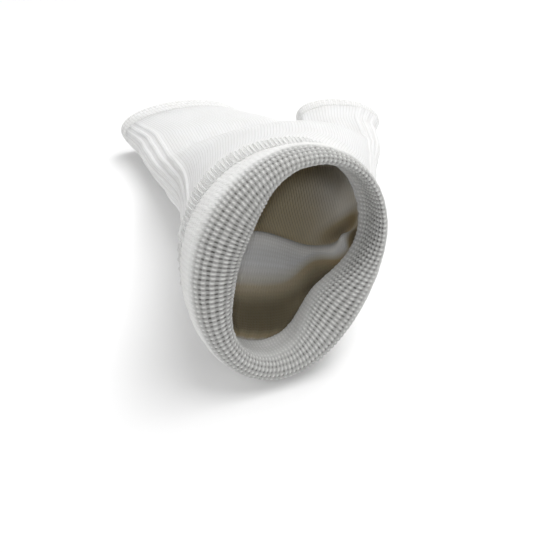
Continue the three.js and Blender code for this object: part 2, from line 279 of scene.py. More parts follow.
class KnitSettings(bpy.types.PropertyGroup):
    """Sizes and colours of the knitted tube."""

    rib_height: bpy.props.FloatProperty(
        name="Rib height", description="Height of the ribs along both sides",
        default=0.75 * MM, unit="LENGTH")
    wales: bpy.props.IntProperty(
        name="Wales", description="Columns of loops round the tube", default=180)
    course: bpy.props.FloatProperty(
        name="Course", description="Length of one row of loops", default=0.9 * MM, unit="LENGTH")
    unevenness: bpy.props.FloatProperty(
        name="Unevenness", description="How far the cloth wanders from its smooth form",
        default=0.22 * MM, unit="LENGTH")
    color: bpy.props.FloatVectorProperty(
        name="Yarn", description="Colour of the yarn", subtype="COLOR", default=(0.86, 0.86, 0.855))
    # Painted shade between the loops, not a colour of the yarn
    gap_shade_color: bpy.props.FloatVectorProperty(
        name="Gap shade", description="Colour between the loops", subtype="COLOR", default=(0.5, 0.48, 0.45))
    # This tint and the brown and deep ones further down are painted shade on the lining, deepest in the
    # pocket before the fold
    cool_shade_color: bpy.props.FloatVectorProperty(
        name="Cool shade", description="Tint of the lining where light still falls on it", subtype="COLOR",
        default=(0.7, 0.71, 0.73))
    # A painted warm light on the lining behind the fold, standing for light through the knit
    warm_light_color: bpy.props.FloatVectorProperty(
        name="Warm shade", description="Tint of the lining behind the fold", subtype="COLOR",
        default=(1.0, 0.86, 0.58))
    brown_shade_color: bpy.props.FloatVectorProperty(
        name="Brown shade", description="Tint of the lining at the edge of the pocket", subtype="COLOR",
        default=(0.36, 0.3, 0.19))
    shade_color: bpy.props.FloatVectorProperty(
        name="Deep shade", description="Tint of the lining deep in the hollow", subtype="COLOR",
        default=(0.12, 0.097, 0.05))
    glow: bpy.props.FloatProperty(
        name="Glow", description="Share of the light that passes through the knit", subtype="FACTOR",
        default=0.55)


class CuffSettings(bpy.types.PropertyGroup):
    """Sizes and colours of the ribbed roll round the forearm mouth."""

    rows: bpy.props.IntProperty(
        name="Rows", description="Rows of stitches round the roll's section", default=22)
    wales: bpy.props.IntProperty(
        name="Wales", description="Stitches in one row", default=132)
    relief: bpy.props.FloatProperty(
        name="Relief", description="Height of a stitch", default=0.8 * MM, unit="LENGTH")
    color: bpy.props.FloatVectorProperty(
        name="Yarn", description="Colour of the yarn", subtype="COLOR", default=(0.84, 0.84, 0.83))
    # The lip, open and gap colours are painted shade: greyer yarn over the roll up to the seam, greyer still
    # where its stitches open up, and dark gaps between the stitches
    lip_shade_color: bpy.props.FloatVectorProperty(
        name="Lip shade", description="Colour of the wales on the smooth lip", subtype="COLOR",
        default=(0.62, 0.62, 0.61))
    open_shade_color: bpy.props.FloatVectorProperty(
        name="Open stitch shade", description="Colour round the stitches where they open up", subtype="COLOR",
        default=(0.42, 0.42, 0.41))
    gap_shade_color: bpy.props.FloatVectorProperty(
        name="Gap shade", description="Colour between the stitches", subtype="COLOR", default=(0.07, 0.066, 0.06))


class ThreadSettings(bpy.types.PropertyGroup):
    """Sizes and colour of the sewing threads."""

    radius: bpy.props.FloatProperty(
        name="Radius", description="Radius of the seam thread", default=0.13 * MM, unit="LENGTH")
    overlock_stitches: bpy.props.IntProperty(
        name="Overlock stitches", description="Zigzags in all the turns of the cuff's seam", default=141)
    hem_stitch: bpy.props.FloatProperty(
        name="Hem stitch", description="Length of one hem stitch", default=2.2 * MM, unit="LENGTH")
    color: bpy.props.FloatVectorProperty(
        name="Thread", description="Colour of the thread", subtype="COLOR", default=(0.8, 0.8, 0.79))


class StageSettings(bpy.types.PropertyGroup):
    """Floor, light and camera."""

    floor_color: bpy.props.FloatVectorProperty(
        name="Floor", description="Colour of the floor", subtype="COLOR", default=(0.9, 0.9, 0.9))
    sky: bpy.props.FloatProperty(
        name="Sky", description="Strength of the light from all round", default=0.39)
    top: bpy.props.FloatProperty(
        name="Top light", description="Power of the wide light overhead", default=10, unit="POWER")
    key: bpy.props.FloatProperty(
        name="Key light", description="Power of the soft light behind the sleeve", default=8, unit="POWER")
    fill: bpy.props.FloatProperty(
        name="Fill light", description="Power of the light in front of the mouth", default=1.5, unit="POWER")
    mouth: bpy.props.FloatProperty(
        name="Mouth light", description="Power of the narrow light into the mouth", default=41, unit="POWER")
    azimuth: bpy.props.FloatProperty(
        name="Azimuth", description="Camera's turn round the sleeve",
        default=math.radians(-11), subtype="ANGLE")
    elevation: bpy.props.FloatProperty(
        name="Elevation", description="Camera's height above the floor",
        default=math.radians(36), subtype="ANGLE")
    view_angle: bpy.props.FloatProperty(
        name="View angle", description="Camera's angle of view",
        default=math.radians(30), subtype="ANGLE")
    distance: bpy.props.FloatProperty(
        name="Distance", description="From the camera to the point it looks at",
        default=0.286, subtype="DISTANCE")
    target: bpy.props.FloatVectorProperty(
        name="Target", description="Point the camera looks at",
        default=(-0.0149, -0.0601, 0.0294), subtype="TRANSLATION")


class SleeveSettings(bpy.types.PropertyGroup):
    """Everything about the sleeve that a user would change."""

    knit: bpy.props.PointerProperty(
        type=KnitSettings, name="Knit", description="The knitted tube")
    cuff: bpy.props.PointerProperty(
        type=CuffSettings, name="Cuff", description="The ribbed roll round the forearm mouth")
    thread: bpy.props.PointerProperty(
        type=ThreadSettings, name="Thread", description="The sewing threads")
    stage: bpy.props.PointerProperty(
        type=StageSettings, name="Stage", description="The floor, the light and the camera")


def smoothstep(value, low, high):
    """0 at low, 1 at high and smooth between."""
    t = np.clip((value - low) / (high - low), 0, 1)
    return t * t * (3 - 2 * t)


def hill(distance, spread):
    """1 at no distance, fading out with it."""
    return np.exp(-((distance / spread) ** 2))


def rounded(value, square):
    """A sine or cosine made fuller, so that a circle drawn with it turns into a rounded square."""
    return np.sign(value) * np.abs(value) ** (2 / square)


def mix(first, second, share):
    """First value turning into the second by a share."""
    return first + (second - first) * share


def section_tangents():
    """Slope of each column at each row, flat where a column turns back so that it never overshoots."""
    steps = np.diff(SECTION_ROWS, axis=0)
    slopes = steps / steps[:, :1]
    product = slopes[:-1] * slopes[1:]
    rising = product > 0
    total = np.where(rising, slopes[:-1] + slopes[1:], 1)
    return np.vstack([slopes[:1], np.where(rising, 2 * product / total, 0), slopes[-1:]])


SECTION_TANGENTS = section_tangents()


def section_at(along):
    """The section table's values at one place along the sleeve."""
    places = SECTION_ROWS[:, 0]
    row = int(np.clip(np.searchsorted(places, along) - 1, 0, len(places) - 2))
    span = places[row + 1] - places[row]
    t = (along - places[row]) / span
    rise = SECTION_ROWS[row + 1] - SECTION_ROWS[row]
    start = SECTION_TANGENTS[row] * span
    end = SECTION_TANGENTS[row + 1] * span
    values = SECTION_ROWS[row] + t * (start + t * (3 * rise - 2 * start - end + t * (start + end - 2 * rise)))
    return dict(zip(SECTION_COLUMNS, values))


def section_curve(section, inset):
    """The section's outline in its own plane, from the little-finger side over the top and back."""
    angle = np.pi * (1 - np.arange(2 * CURVE_STEPS + 1) / CURVE_STEPS)
    up = rounded(np.sin(angle), section["square"])
    reach = np.where(up > 0, section["top"], section["bottom"]) - inset
    half = (section["half"] - inset) * (1 + section["taper"] * up)
    x = half * rounded(np.cos(angle), section["square"]) + section["skew"] * up
    fold = section["fold"] * np.maximum(0, -up) * hill(x - FOLD_SIDE, FOLD_SPREAD)
    near = NOTCH_PINCH * smoothstep(section["along"], NOTCH_ALONG - NOTCH_FADE, NOTCH_ALONG)
    pinch = np.clip(2 * up, -1, 1) * near * hill(x - NOTCH_SIDE, NOTCH_SPREAD)
    return np.column_stack([x, reach * up + fold - pinch])


def places_on(curve, shares):
    """Points of an outline at shares of its girth, half above and half below, and the way out at each."""
    steps = np.linalg.norm(np.diff(curve, axis=0), axis=1).reshape(2, -1)
    steps = steps / steps.sum(axis=1, keepdims=True) / 2
    at = np.concatenate([[0], np.cumsum(steps)])
    wrapped = np.vstack([curve[-2:-1], curve, curve[1:2]])
    run = wrapped[2:] - wrapped[:-2]
    run /= np.linalg.norm(run, axis=1, keepdims=True)
    shares = np.mod(shares, 1)
    points = np.column_stack([np.interp(shares, at, curve[:, i]) for i in range(2)])
    out = np.column_stack([np.interp(shares, at, -run[:, 1]), np.interp(shares, at, run[:, 0])])
    return points, out


def tube_ring(along, shares, inset=0.0, lift=0.0):
    """Points round the tube in millimetres, lifted along the way out and kept off the floor."""
    section = section_at(along)
    yaw = math.radians(section["yaw"])
    lean = math.radians(section["lean"])
    across = np.array((math.cos(yaw), math.sin(yaw), 0))
    away = np.array((-math.sin(yaw), math.cos(yaw), 0))
    up = math.sin(lean) * away + np.array((0, 0, math.cos(lean)))
    at, out = places_on(section_curve(section, inset), shares)
    at = at + out * np.reshape(lift, (-1, 1))
    middle = np.array((section["side"], section["back"], section["rise"]))
    points = middle + at[:, :1] * across + at[:, 1:] * up
    points[:, 2] = np.maximum(points[:, 2], max(inset, 0))
    return points


def branch_columns(branch):
    """Shares of the tube's girth that a branch carries on from, ending at the V."""
    if branch is PALM:
        return np.linspace(-NOTCH_SHARE, NOTCH_SHARE, PALM_COLUMNS + 1)
    return np.linspace(NOTCH_SHARE, 1 - NOTCH_SHARE, THUMB_COLUMNS + 1)


def branch_shares(branch):
    """Shares of a branch's own girth, from its left end over the top, for its columns and its web."""
    columns = branch_columns(branch)
    if branch is PALM:
        shares = columns / NOTCH_SHARE * (0.5 - WEB_SHARE)
    else:
        shares = mix(WEB_SHARE, 1 - WEB_SHARE, (columns - NOTCH_SHARE) / (1 - 2 * NOTCH_SHARE))
    web = branch["web"] + mix(-WEB_SHARE, WEB_SHARE, np.arange(1, WEB_COLUMNS) / WEB_COLUMNS)
    return np.concatenate([shares, web])


def with_web(points):
    """A branch's start at the V: its part of the tube's ring and the web that closes it."""
    steps = np.arange(1, WEB_COLUMNS)[:, None] / WEB_COLUMNS
    return np.vstack([points, mix(points[-1], points[0], steps)])


def notch_along(inset):
    """Where along the sleeve the V lies at an inset, which gives the web its own thickness."""
    return NOTCH_ALONG - NOTCH_WALL * inset / WALL


def hem_reach(branch):
    """Where a branch's hem starts, from 0 at the V to 1 at the rim."""
    return 1 - HEM_LONG / max(branch["left_long"], branch["right_long"])


def branch_ring(branch, root, inner, reach, inset=0.0, lift=0.0):
    """Points round a branch. reach is 0 at the V and 1 at the rim, which has the branch's own oval."""
    half = (branch["right"] - branch["left"]) / 2
    oval = {
        "along": 0, "half": half, "top": branch["half"], "bottom": branch["half"],
        "square": branch["square"], "taper": 0, "skew": 0, "fold": 0,
    }
    shares = branch_shares(branch)
    at, out = places_on(section_curve(oval, 0), shares)
    inside = places_on(section_curve(oval, inset), shares)[0] - at
    long = mix(branch["left_long"], branch["right_long"], (at[:, 0] + half) / (2 * half))
    at = at + out * np.reshape(lift, (-1, 1))
    rim = np.column_stack([branch["left"] + half + at[:, 0], np.zeros(len(at)), branch["rise"] + at[:, 1]])
    wall = smoothstep(reach, 0, 2 * NOTCH_WALL / branch["left_long"])
    points = mix(root, rim, smoothstep(reach, 0, 1))
    points[:, 0] += mix(inner[:, 0] - root[:, 0], inside[:, 0], wall)
    points[:, 2] += mix(inner[:, 2] - root[:, 2], inside[:, 1], wall)
    points[:, 1] = mix(inner[:, 1], section_at(NOTCH_ALONG)["back"] + long, reach)
    points[:, 2] = np.maximum(points[:, 2], max(inset, 0))
    return points


def rib_wave(shares):
    """Height, from 0 to 1, of the ribs that run along both sides."""
    off_side = np.mod(shares + 0.25, 0.5) - 0.25
    wave = 0.5 + 0.5 * np.cos(2 * np.pi * off_side / RIB_PITCH_SHARE)
    return np.where(np.abs(off_side) < RIBBED_SHARE / 2, wave, 0)


def wander(shares, along):
    """Gentle unevenness of handled cloth, from -1 to 1."""
    total = 0
    for wave in WANDER_WAVES:
        turn = 2 * np.pi * wave["round"] * shares + wave["turn"] * along + wave["start"]
        swell = np.sin(wave["swell"] * along + wave["swell_start"])
        total = total + wave["high"] * np.sin(turn) * swell
    return total / sum(wave["high"] for wave in WANDER_WAVES)


def pucker(shares, along):
    """Small gathers where the tube is sewn to the cuff, fading out down the sleeve, in millimetres."""
    turn = 2 * np.pi * shares
    wave = np.sin(PUCKER["round"] * turn + PUCKER["uneven"] * np.sin(PUCKER["uneven_round"] * turn))
    return PUCKER["high"] * wave * hill(along - CUFF_LONG - PUCKER["behind"], PUCKER["long"])


def place(points):
    """From the sleeve's millimetres to the frame's metres."""
    return (points - FOOTPRINT_MIDDLE) * MM


def panel(name, points, stitches, masks):
    """A grid moved corner by corner to its place, with stitch counts as a UV map and masks as attributes."""
    rows, columns = points.shape[:2]
    bpy.ops.object.select_all(action="DESELECT")
    bpy.ops.mesh.primitive_grid_add(x_subdivisions=columns - 1, y_subdivisions=rows - 1, size=1)
    piece = bpy.context.object
    piece.name = name
    mesh = piece.data
    mesh.name = name
    mesh.vertices.foreach_set("co", place(points).ravel())
    corner = np.empty(len(mesh.loops), np.int32)
    mesh.loops.foreach_get("vertex_index", corner)
    layer = mesh.uv_layers.active
    layer.name = STITCH_MAP
    layer.uv.foreach_set("vector", stitches.reshape(-1, 2)[corner].ravel())
    for key, values in masks.items():
        values = np.broadcast_to(values, points.shape[:2]).ravel()
        mesh.attributes.new(key, "FLOAT", "POINT").data.foreach_set("value", values)
    mesh.update()
    return piece


def sew(*panels):
    """Joins panels, merges the edges that meet and smooths the shading."""
    bpy.ops.object.select_all(action="DESELECT")
    for piece in panels:
        piece.select_set(True)
    bpy.context.view_layer.objects.active = panels[0]
    if len(panels) > 1:
        bpy.ops.object.join()
    bpy.ops.object.mode_set(mode="EDIT")
    bpy.ops.mesh.select_all(action="SELECT")
    bpy.ops.mesh.remove_doubles(threshold=MERGE * MM)
    bpy.ops.object.mode_set(mode="OBJECT")
    bpy.ops.object.shade_smooth()
    return panels[0]


def closed(rings):
    """Repeats each ring's first point at its end, so that a grid's last edge meets its first."""
    rings = np.asarray(rings)
    return np.concatenate([rings, rings[:, :1]], axis=1)


def finish_piece(piece, material, replaces=None):
    """Gives a piece its material and its place in the frame."""
    piece.data.materials.clear()
    piece.data.materials.append(material)
    if replaces:
        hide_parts(replaces)
    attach(piece, BODY)


class Tree:
    """Short ways to add and link the nodes of one tree."""

    def __init__(self, tree):
        self.tree = tree
        tree.nodes.clear()

    def node(self, kind, inputs=(), **values):
        """A new node with its own settings, and a value or a link at each of the inputs."""
        made = self.tree.nodes.new(kind)
        for key, value in values.items():
            setattr(made, key, value)
        for key, value in dict(inputs).items():
            self.feed(made.inputs[key], value)
        return made

    def feed(self, socket, value):
        """Links a socket or sets its value."""
        if isinstance(value, bpy.types.NodeSocket):
            self.tree.links.new(value, socket)
        else:
            socket.default_value = value

    def math(self, operation, *values):
        """A sum worked out on values or sockets."""
        return self.node("ShaderNodeMath", enumerate(values), operation=operation).outputs[0]

    def ramp(self, value, low, high):
        """0 at low, 1 at high and smooth between."""
        inputs = {"Value": value, "From Min": low, "From Max": high}
        return self.node("ShaderNodeMapRange", inputs, interpolation_type="SMOOTHSTEP").outputs[0]

    def fall(self, value, low, high):
        """1 at low, 0 at high and smooth between."""
        return self.math("SUBTRACT", 1.0, self.ramp(value, low, high))


def new_group(name, inputs, outputs):
    """An empty shader group with vector inputs and value outputs, its tree, and the sockets at both ends."""
    group = bpy.data.node_groups.new(name, "ShaderNodeTree")
    for socket in inputs:
        group.interface.new_socket(name=socket, in_out="INPUT", socket_type="NodeSocketVector")
    for socket in outputs:
        group.interface.new_socket(name=socket, in_out="OUTPUT", socket_type="NodeSocketFloat")
    tree = Tree(group)
    entry = tree.node("NodeGroupInput").outputs
    return group, tree, entry, tree.node("NodeGroupOutput").inputs


def plain_loops_group():
    """Plain knit read from stitch counts: V-shaped loops, and masks for the painted shade in the gaps between
    them and in the wale grooves.
    """
    group, tree, entry, leave = new_group("Plain loops", ["Stitches"], ["Height", "Gap", "Groove"])
    split = tree.node("ShaderNodeSeparateXYZ", {"Vector": entry["Stitches"]}).outputs
    off_groove = tree.math("PINGPONG", split["X"], 0.5)
    leg = tree.math("FRACT", tree.math("MULTIPLY_ADD", off_groove, LOOP_SLANT, split["Y"]))
    yarn = tree.math("SINE", tree.math("MULTIPLY", leg, math.pi))
    round_yarn = tree.math("MULTIPLY_ADD", yarn, LOOP_YARN, 1 - LOOP_YARN)
    height = tree.math("MULTIPLY", tree.ramp(off_groove, *LOOP_GROOVE), round_yarn)
    tree.feed(leave["Height"], height)
    tree.feed(leave["Gap"], tree.math("SUBTRACT", 1.0, height))
    tree.feed(leave["Groove"], tree.fall(off_groove, *LOOP_WALE))
    return group


def rib_stitches_group():
    """Thick rib read from stitch counts: twisted yarn, and masks for the painted shade in the grooves between
    wales, between rows, in the holes and fading out by the seam, and for the painted highlight on the knots.
    """
    group, tree, entry, leave = new_group(
        "Rib stitches", ["Stitches"], ["Height", "Hole", "Groove", "Between", "Knot", "Seam"])
    counts = entry["Stitches"]
    noise = tree.node("ShaderNodeTexNoise", {"Vector": counts, "Scale": RIB_SWAY_SCALE, "Detail": 1.0})
    sway = (RIB_SWAY, RIB_SWAY, 0)
    uneven = tree.node(
        "ShaderNodeVectorMath", {0: noise.outputs["Color"], 1: sway, 2: counts}, operation="MULTIPLY_ADD")
    half = 0.5 - RIB_SWAY / 2
    middle = tree.node("ShaderNodeVectorMath", {0: uneven.outputs[0], 1: (half, half, 0)}, operation="ADD")
    cell = tree.node("ShaderNodeVectorMath", {0: middle.outputs[0]}, operation="FLOOR")
    chance = tree.node("ShaderNodeTexWhiteNoise", {"Vector": cell.outputs[0]}, noise_dimensions="2D")
    split = tree.node("ShaderNodeSeparateXYZ", {"Vector": middle.outputs[0]}).outputs
    off_wale = tree.math("SUBTRACT", 0.5, tree.math("PINGPONG", split["X"], 0.5))
    off_row = tree.math("SUBTRACT", 0.5, tree.math("PINGPONG", split["Y"], 0.5))
    groove = tree.fall(off_wale, *RIB_GROOVE)
    between = tree.fall(off_row, *RIB_ROW)
    # Holes, grooves and rows, as masks for painted shade
    strength = tree.math("MULTIPLY_ADD", chance.outputs["Value"], RIB_HOLE_CHANCE, 1 - RIB_HOLE_CHANCE)
    tree.feed(leave["Hole"], tree.math("MULTIPLY", tree.math("MULTIPLY", groove, between), strength))
    tree.feed(leave["Groove"], groove)
    tree.feed(leave["Between"], between)
    # Tops of the knots, where a painted highlight goes
    across, along = tree.ramp(off_wale, *RIB_KNOT["across"]), tree.ramp(off_row, *RIB_KNOT["along"])
    tree.feed(leave["Knot"], tree.math("MULTIPLY", across, along))
    tree.feed(leave["Seam"], tree.ramp(split["Y"], *FLAT_ROWS))
    turns = tree.math("MULTIPLY", split["X"], RIB_TWIST["across"])
    turns = tree.math("MULTIPLY_ADD", split["Y"], RIB_TWIST["along"], turns)
    tree.feed(leave["Height"], tree.math("SINE", tree.math("MULTIPLY", turns, 2 * math.pi)))
    return group


def lint_group():
    """Loose fibres and slight staining, read from the piece's own coordinates."""
    group, tree, entry, leave = new_group("Lint", ["Place"], ["Fibre", "Mottle"])
    fibre = tree.node("ShaderNodeTexNoise", {"Vector": entry["Place"], "Scale": FIBRE_SCALE, "Detail": 3.0})
    cloud = tree.node("ShaderNodeTexNoise", {"Vector": entry["Place"], "Scale": MOTTLE_SCALE, "Detail": 4.0})
    tree.feed(leave["Fibre"], fibre.outputs["Fac"])
    tree.feed(leave["Mottle"], tree.ramp(cloud.outputs["Fac"], *MOTTLE_FADE))
    return group


def group_once(name, build):
    """A shader group by its name, built the first time it is asked for."""
    return bpy.data.node_groups.get(name) or build()


def new_material(name):
    """A new material and its empty tree."""
    material = bpy.data.materials.new(name)
    material.use_nodes = True
    return material, Tree(material.node_tree)


def stitch_values(tree, pattern):
    """What a stitch pattern puts out where it is laid over the piece's stitch counts."""
    uv = tree.node("ShaderNodeUVMap", uv_map=STITCH_MAP).outputs["UV"]
    return tree.node("ShaderNodeGroup", {"Stitches": uv}, node_tree=pattern).outputs


def lint_values(tree):
    """Fibres and mottling laid over the piece's own coordinates."""
    on_piece = tree.node("ShaderNodeTexCoord").outputs["Object"]
    return tree.node("ShaderNodeGroup", {"Place": on_piece}, node_tree=group_once("Lint", lint_group)).outputs


def mask_value(tree, name):
    """One of the piece's masks, read from its attribute."""
    return tree.node("ShaderNodeAttribute", attribute_name=name).outputs["Fac"]


def blend(tree, share, first, second, mode="MIX"):
    """First colour turning into the second by a share."""
    inputs = {"Factor": share, "A": first, "B": second}
    return tree.node("ShaderNodeMix", inputs, data_type="RGBA", blend_type=mode).outputs["Result"]


def yarn_surface(tree, color, height, relief, glow=0.0):
    """Matt yarn with lint on it: roughened, a little mottled, and lit through by its glow."""
    lint = lint_values(tree)
    mottle = tree.math("MULTIPLY", lint["Mottle"], YARN_MOTTLE)
    fuzzy = tree.math("MULTIPLY_ADD", lint["Fibre"], YARN_FUZZ, height)
    bump = tree.node("ShaderNodeBump", {"Strength": 0.6, "Distance": relief * MM, "Height": fuzzy})
    shader = tree.node("ShaderNodeBsdfPrincipled", {
        "Base Color": blend(tree, mottle, color, (*YARN_STAIN, 1), "MULTIPLY"),
        "Roughness": tree.math("MULTIPLY_ADD", lint["Mottle"], YARN_ROUGH_RANGE, YARN_ROUGH),
        "Specular IOR Level": 0.2,
        "Sheen Weight": 0.18,
        "Sheen Roughness": 0.6,
        "Subsurface Weight": glow,
        "Subsurface Radius": (1, 0.96, 0.9),
        "Subsurface Scale": 11 * MM,
        "Normal": bump.outputs["Normal"],
    })
    tree.node("ShaderNodeOutputMaterial", {"Surface": shader.outputs["BSDF"]})


def tint_ramp(tree, share, stops):
    """Colour that passes through stops, each a share and a colour."""
    made = tree.node("ShaderNodeValToRGB", {"Fac": share})
    elements = made.color_ramp.elements
    while len(elements) < len(stops):
        elements.new(0.5)
    for element, (position, color) in zip(elements, stops):
        element.position = position
        element.color = (*color, 1)
    return made.outputs["Color"]


def plain_knit_material(name, knit):
    """Plain loops with painted shade in their gaps, painted shade on the lining by its depth in the hollow,
    and behind the fold a painted warm light and painted shade in the wale grooves.
    """
    material, tree = new_material(name)
    loops = stitch_values(tree, group_once("Plain loops", plain_loops_group))
    warm = mask_value(tree, WARM)
    # Painted shade lines in the wale grooves of the lining behind the fold, and painted shade in the gaps
    ribbed = tree.math("MULTIPLY", tree.ramp(warm, *PLAIN_MARKS["wale_fade"]), PLAIN_MARKS["wale"])
    wales = tree.math("MULTIPLY", loops["Groove"], ribbed)
    gaps = tree.math("MAXIMUM", tree.math("MULTIPLY", loops["Gap"], PLAIN_MARKS["gap"]), wales)
    color = blend(tree, gaps, (*knit.color, 1), (*knit.gap_shade_color, 1))
    shades = (
        (0, WHITE), (LINING_SHADE, knit.cool_shade_color),
        (BROWN_SHADE, knit.brown_shade_color), (1, knit.shade_color),
    )
    # The lining's painted shade, turning to a painted warm light behind the fold, multiplies the yarn's
    # colour
    tint = blend(tree, warm, tint_ramp(tree, mask_value(tree, MASK), shades), (*knit.warm_light_color, 1))
    tinted = blend(tree, 1.0, color, tint, "MULTIPLY")
    yarn_surface(tree, tinted, loops["Height"], PLAIN_MARKS["bump"], knit.glow)
    return material


def thick_rib_material(name, cuff):
    """Thick rib with painted shade: greyer yarn over the roll, greyer still where the mask says that its
    stitches open up, dark holes, grooves and rows, and a painted highlight on its knots.
    """
    material, tree = new_material(name)
    rib = stitch_values(tree, group_once("Rib stitches", rib_stitches_group))
    mask = mask_value(tree, MASK)
    # Painted shade: greyer yarn over the roll, fading out by the seam, and greyer still where the stitches
    # open up
    yarn = blend(tree, rib["Seam"], (*cuff.lip_shade_color, 1), (*cuff.color, 1))
    yarn = blend(tree, mask, yarn, (*cuff.open_shade_color, 1))
    # Painted highlight: the tops of the knots go back to the yarn's own white
    yarn = blend(tree, tree.math("MULTIPLY", rib["Knot"], RIB_MARKS["knot"]), yarn, (*cuff.color, 1))
    # Painted shade in the holes, in the grooves and between the rows
    holes = tree.math("MULTIPLY", rib["Hole"], mask)
    opening = tree.ramp(mask, *RIB_MARKS["groove_fade"])
    lines = tree.math("MULTIPLY_ADD", opening, RIB_MARKS["open_groove"], RIB_MARKS["groove"])
    shade = tree.math("MAXIMUM", holes, tree.math("MULTIPLY", rib["Groove"], lines))
    rows = tree.math("MULTIPLY", rib["Between"], tree.math("MULTIPLY", mask, RIB_MARKS["row"]))
    shade = tree.math("MAXIMUM", shade, rows)
    yarn_surface(tree, blend(tree, shade, yarn, (*cuff.gap_shade_color, 1)), rib["Height"], RIB_MARKS["bump"])
    return material


def cloth_lift(knit, shares, along, face=1.0, fade=1.0):
    """Ribs, unevenness and puckers of the tube's knit, in millimetres out of its smooth form."""
    ribs = knit.rib_height / MM * rib_wave(shares) * fade
    soft = knit.unevenness / MM * wander(shares, along) + pucker(shares, along)
    return face * ribs + soft * smoothstep(along, CUFF_LONG, CUFF_LONG + LOOSE_LONG)


def near_share(at, shares):
    """1 at one share of the girth, fading out round it."""
    return hill(np.mod(shares, 1) - at["share"], at["spread"])


def spot(at, shares, along):
    """1 at one place of the lining, fading out round it."""
    return near_share(at, shares) * hill(along - at["along"], at["long"])


def body_face(knit, inset):
    """Rings of the tube and of both branches on the outer face, or on the lining at an inset."""
    shares = np.concatenate([branch_columns(PALM), branch_columns(THUMB)[1:-1]])
    face = LINING_RIBS if inset else 1.0

    def lift(along, places, fade=1.0):
        curl = CURL["deep"] * spot(CURL, places, along) if inset else 0
        return cloth_lift(knit, places, along, face, fade) - curl

    stations = np.linspace(CUFF_LONG + SEWN_GAP, notch_along(inset), BODY_STATIONS + 1)
    tube = [tube_ring(along, shares, inset, lift(along, shares)) for along in stations]
    outer_end = tube_ring(NOTCH_ALONG, shares, 0, lift(NOTCH_ALONG, shares))
    runs = []
    for branch in (PALM, THUMB):
        picked = np.arange(PALM_COLUMNS + 1)
        if branch is THUMB:
            picked = np.append(np.arange(PALM_COLUMNS, len(shares)), 0)
        root = with_web(outer_end[picked])
        inner = with_web(tube[-1][picked])
        end = hem_reach(branch) - SEWN_GAP / min(branch["left_long"], branch["right_long"])
        run = [inner]
        for step in np.arange(1, BRANCH_STATIONS + 1) / BRANCH_STATIONS:
            lifts = lift(NOTCH_ALONG, branch_columns(branch), 1 - BRANCH_RIB_LOSS * step)
            lifts = np.append(lifts, np.zeros(WEB_COLUMNS - 1))
            run.append(branch_ring(branch, root, inner, end * step, inset, lifts))
        runs.append(run)
    return shares, stations, tube, runs


def thumb_wall_painted_light(shares, along):
    """How much painted light the thumb-side wall behind the fold gets."""
    return THUMB_WALL["light"] * near_share(THUMB_WALL, shares) * smoothstep(along, *BEHIND_STATIONS)


def lining_painted_shade(shares, along):
    """How much painted shade a place of the lining gets, from 0 in the light to 1 in the pocket before the
    fold.
    """
    # Painted light on the bulge, painted shade in the pocket, a painted highlight along the crest and painted
    # shade beside the curl
    bulge = BULGE["light"] * near_share(BULGE, shares) * (1 - smoothstep(along, *BULGE["stations"]))
    risen = along - POCKET_THUMB["stations"] * near_share(POCKET_THUMB, shares)
    pocket = smoothstep(along, *POCKET_START) * (1 - smoothstep(risen, *POCKET_STATIONS)) * (1 - bulge)
    least = LINING_SHADE * (1 - CREST["light"] * hill(along - CREST["along"], CREST["long"]))
    shade = np.maximum(pocket, least) * (1 - thumb_wall_painted_light(shares, along))
    for beside in CURL_SHADES:
        shade = np.maximum(shade, beside["dark"] * spot(beside, shares, along))
    return shade


def lining_painted_warm_light(shares, along):
    """How much painted warm light, standing for the light through the knit, a place of the lining gets:
    behind the fold, and on the wall.
    """
    behind = smoothstep(along, *BEHIND_STATIONS)
    shaded = sum(beside["dark"] * spot(beside, shares, along) for beside in CURL_SHADES)
    return mix(behind, THUMB_WALL["warm"], thumb_wall_painted_light(shares, along)) * np.clip(1 - shaded, 0, 1)


def stitch_counts(shares, alongs, wales, course):
    """Stitch counts across and along for each corner of a closed grid."""
    across = np.append(shares, shares[0] + 1) * wales
    return np.stack(np.meshgrid(across, np.asarray(alongs) * MM / course), axis=-1)


class WRIST_OT_knit_body(bpy.types.Operator):
    """Knits the tube with its ribbed sides, its lining and its palm and thumb branches"""

    bl_idname = "wrist.knit_body"
    bl_label = "Knit body"

    def execute(self, context):
        knit = context.scene.wrist_sleeve.knit
        shares, stations, outer, outer_runs = body_face(knit, 0)
        lining_stations, lining, lining_runs = body_face(knit, WALL)[1:]
        # Painted shade and painted warm light of the lining, kept as attributes; the outer face gets none
        masks = {}
        for key, value in ((MASK, lining_painted_shade), (WARM, lining_painted_warm_light)):
            lined = closed([value(shares, along) for along in lining_stations[::-1]])
            masks[key] = np.concatenate([lined, np.zeros((len(outer), lined.shape[1]))])
        alongs = [*lining_stations[::-1], *stations]
        counts = stitch_counts(shares, alongs, knit.wales, knit.course)
        panels = [panel("knit_body", closed([*lining[::-1], *outer]), counts, masks)]
        for branch, run, lining_run in zip((PALM, THUMB), outer_runs, lining_runs):
            columns = branch_columns(branch)
            across = np.concatenate([columns, columns[-1] + np.arange(1, WEB_COLUMNS) / knit.wales])
            alongs = NOTCH_ALONG + np.linspace(0, BRANCH_LONG, len(run))
            counts = stitch_counts(across, [*alongs, *alongs[::-1]], knit.wales, knit.course)
            panels.append(panel("branch", closed([*run, *lining_run[::-1]]), counts, {MASK: 0.0, WARM: 0.0}))
        piece = sew(*panels)
        finish_piece(piece, plain_knit_material("Plain knit", knit), "sleeve_body")
        return {"FINISHED"}


def bezier(points, steps):
    """Points along a curve with four control points."""
    t = np.linspace(0, 1, steps)[:, None]
    a, b, c, d = np.array(points, float)
    return (1 - t) ** 3 * a + 3 * (1 - t) ** 2 * t * b + 3 * (1 - t) * t ** 2 * c + t ** 3 * d


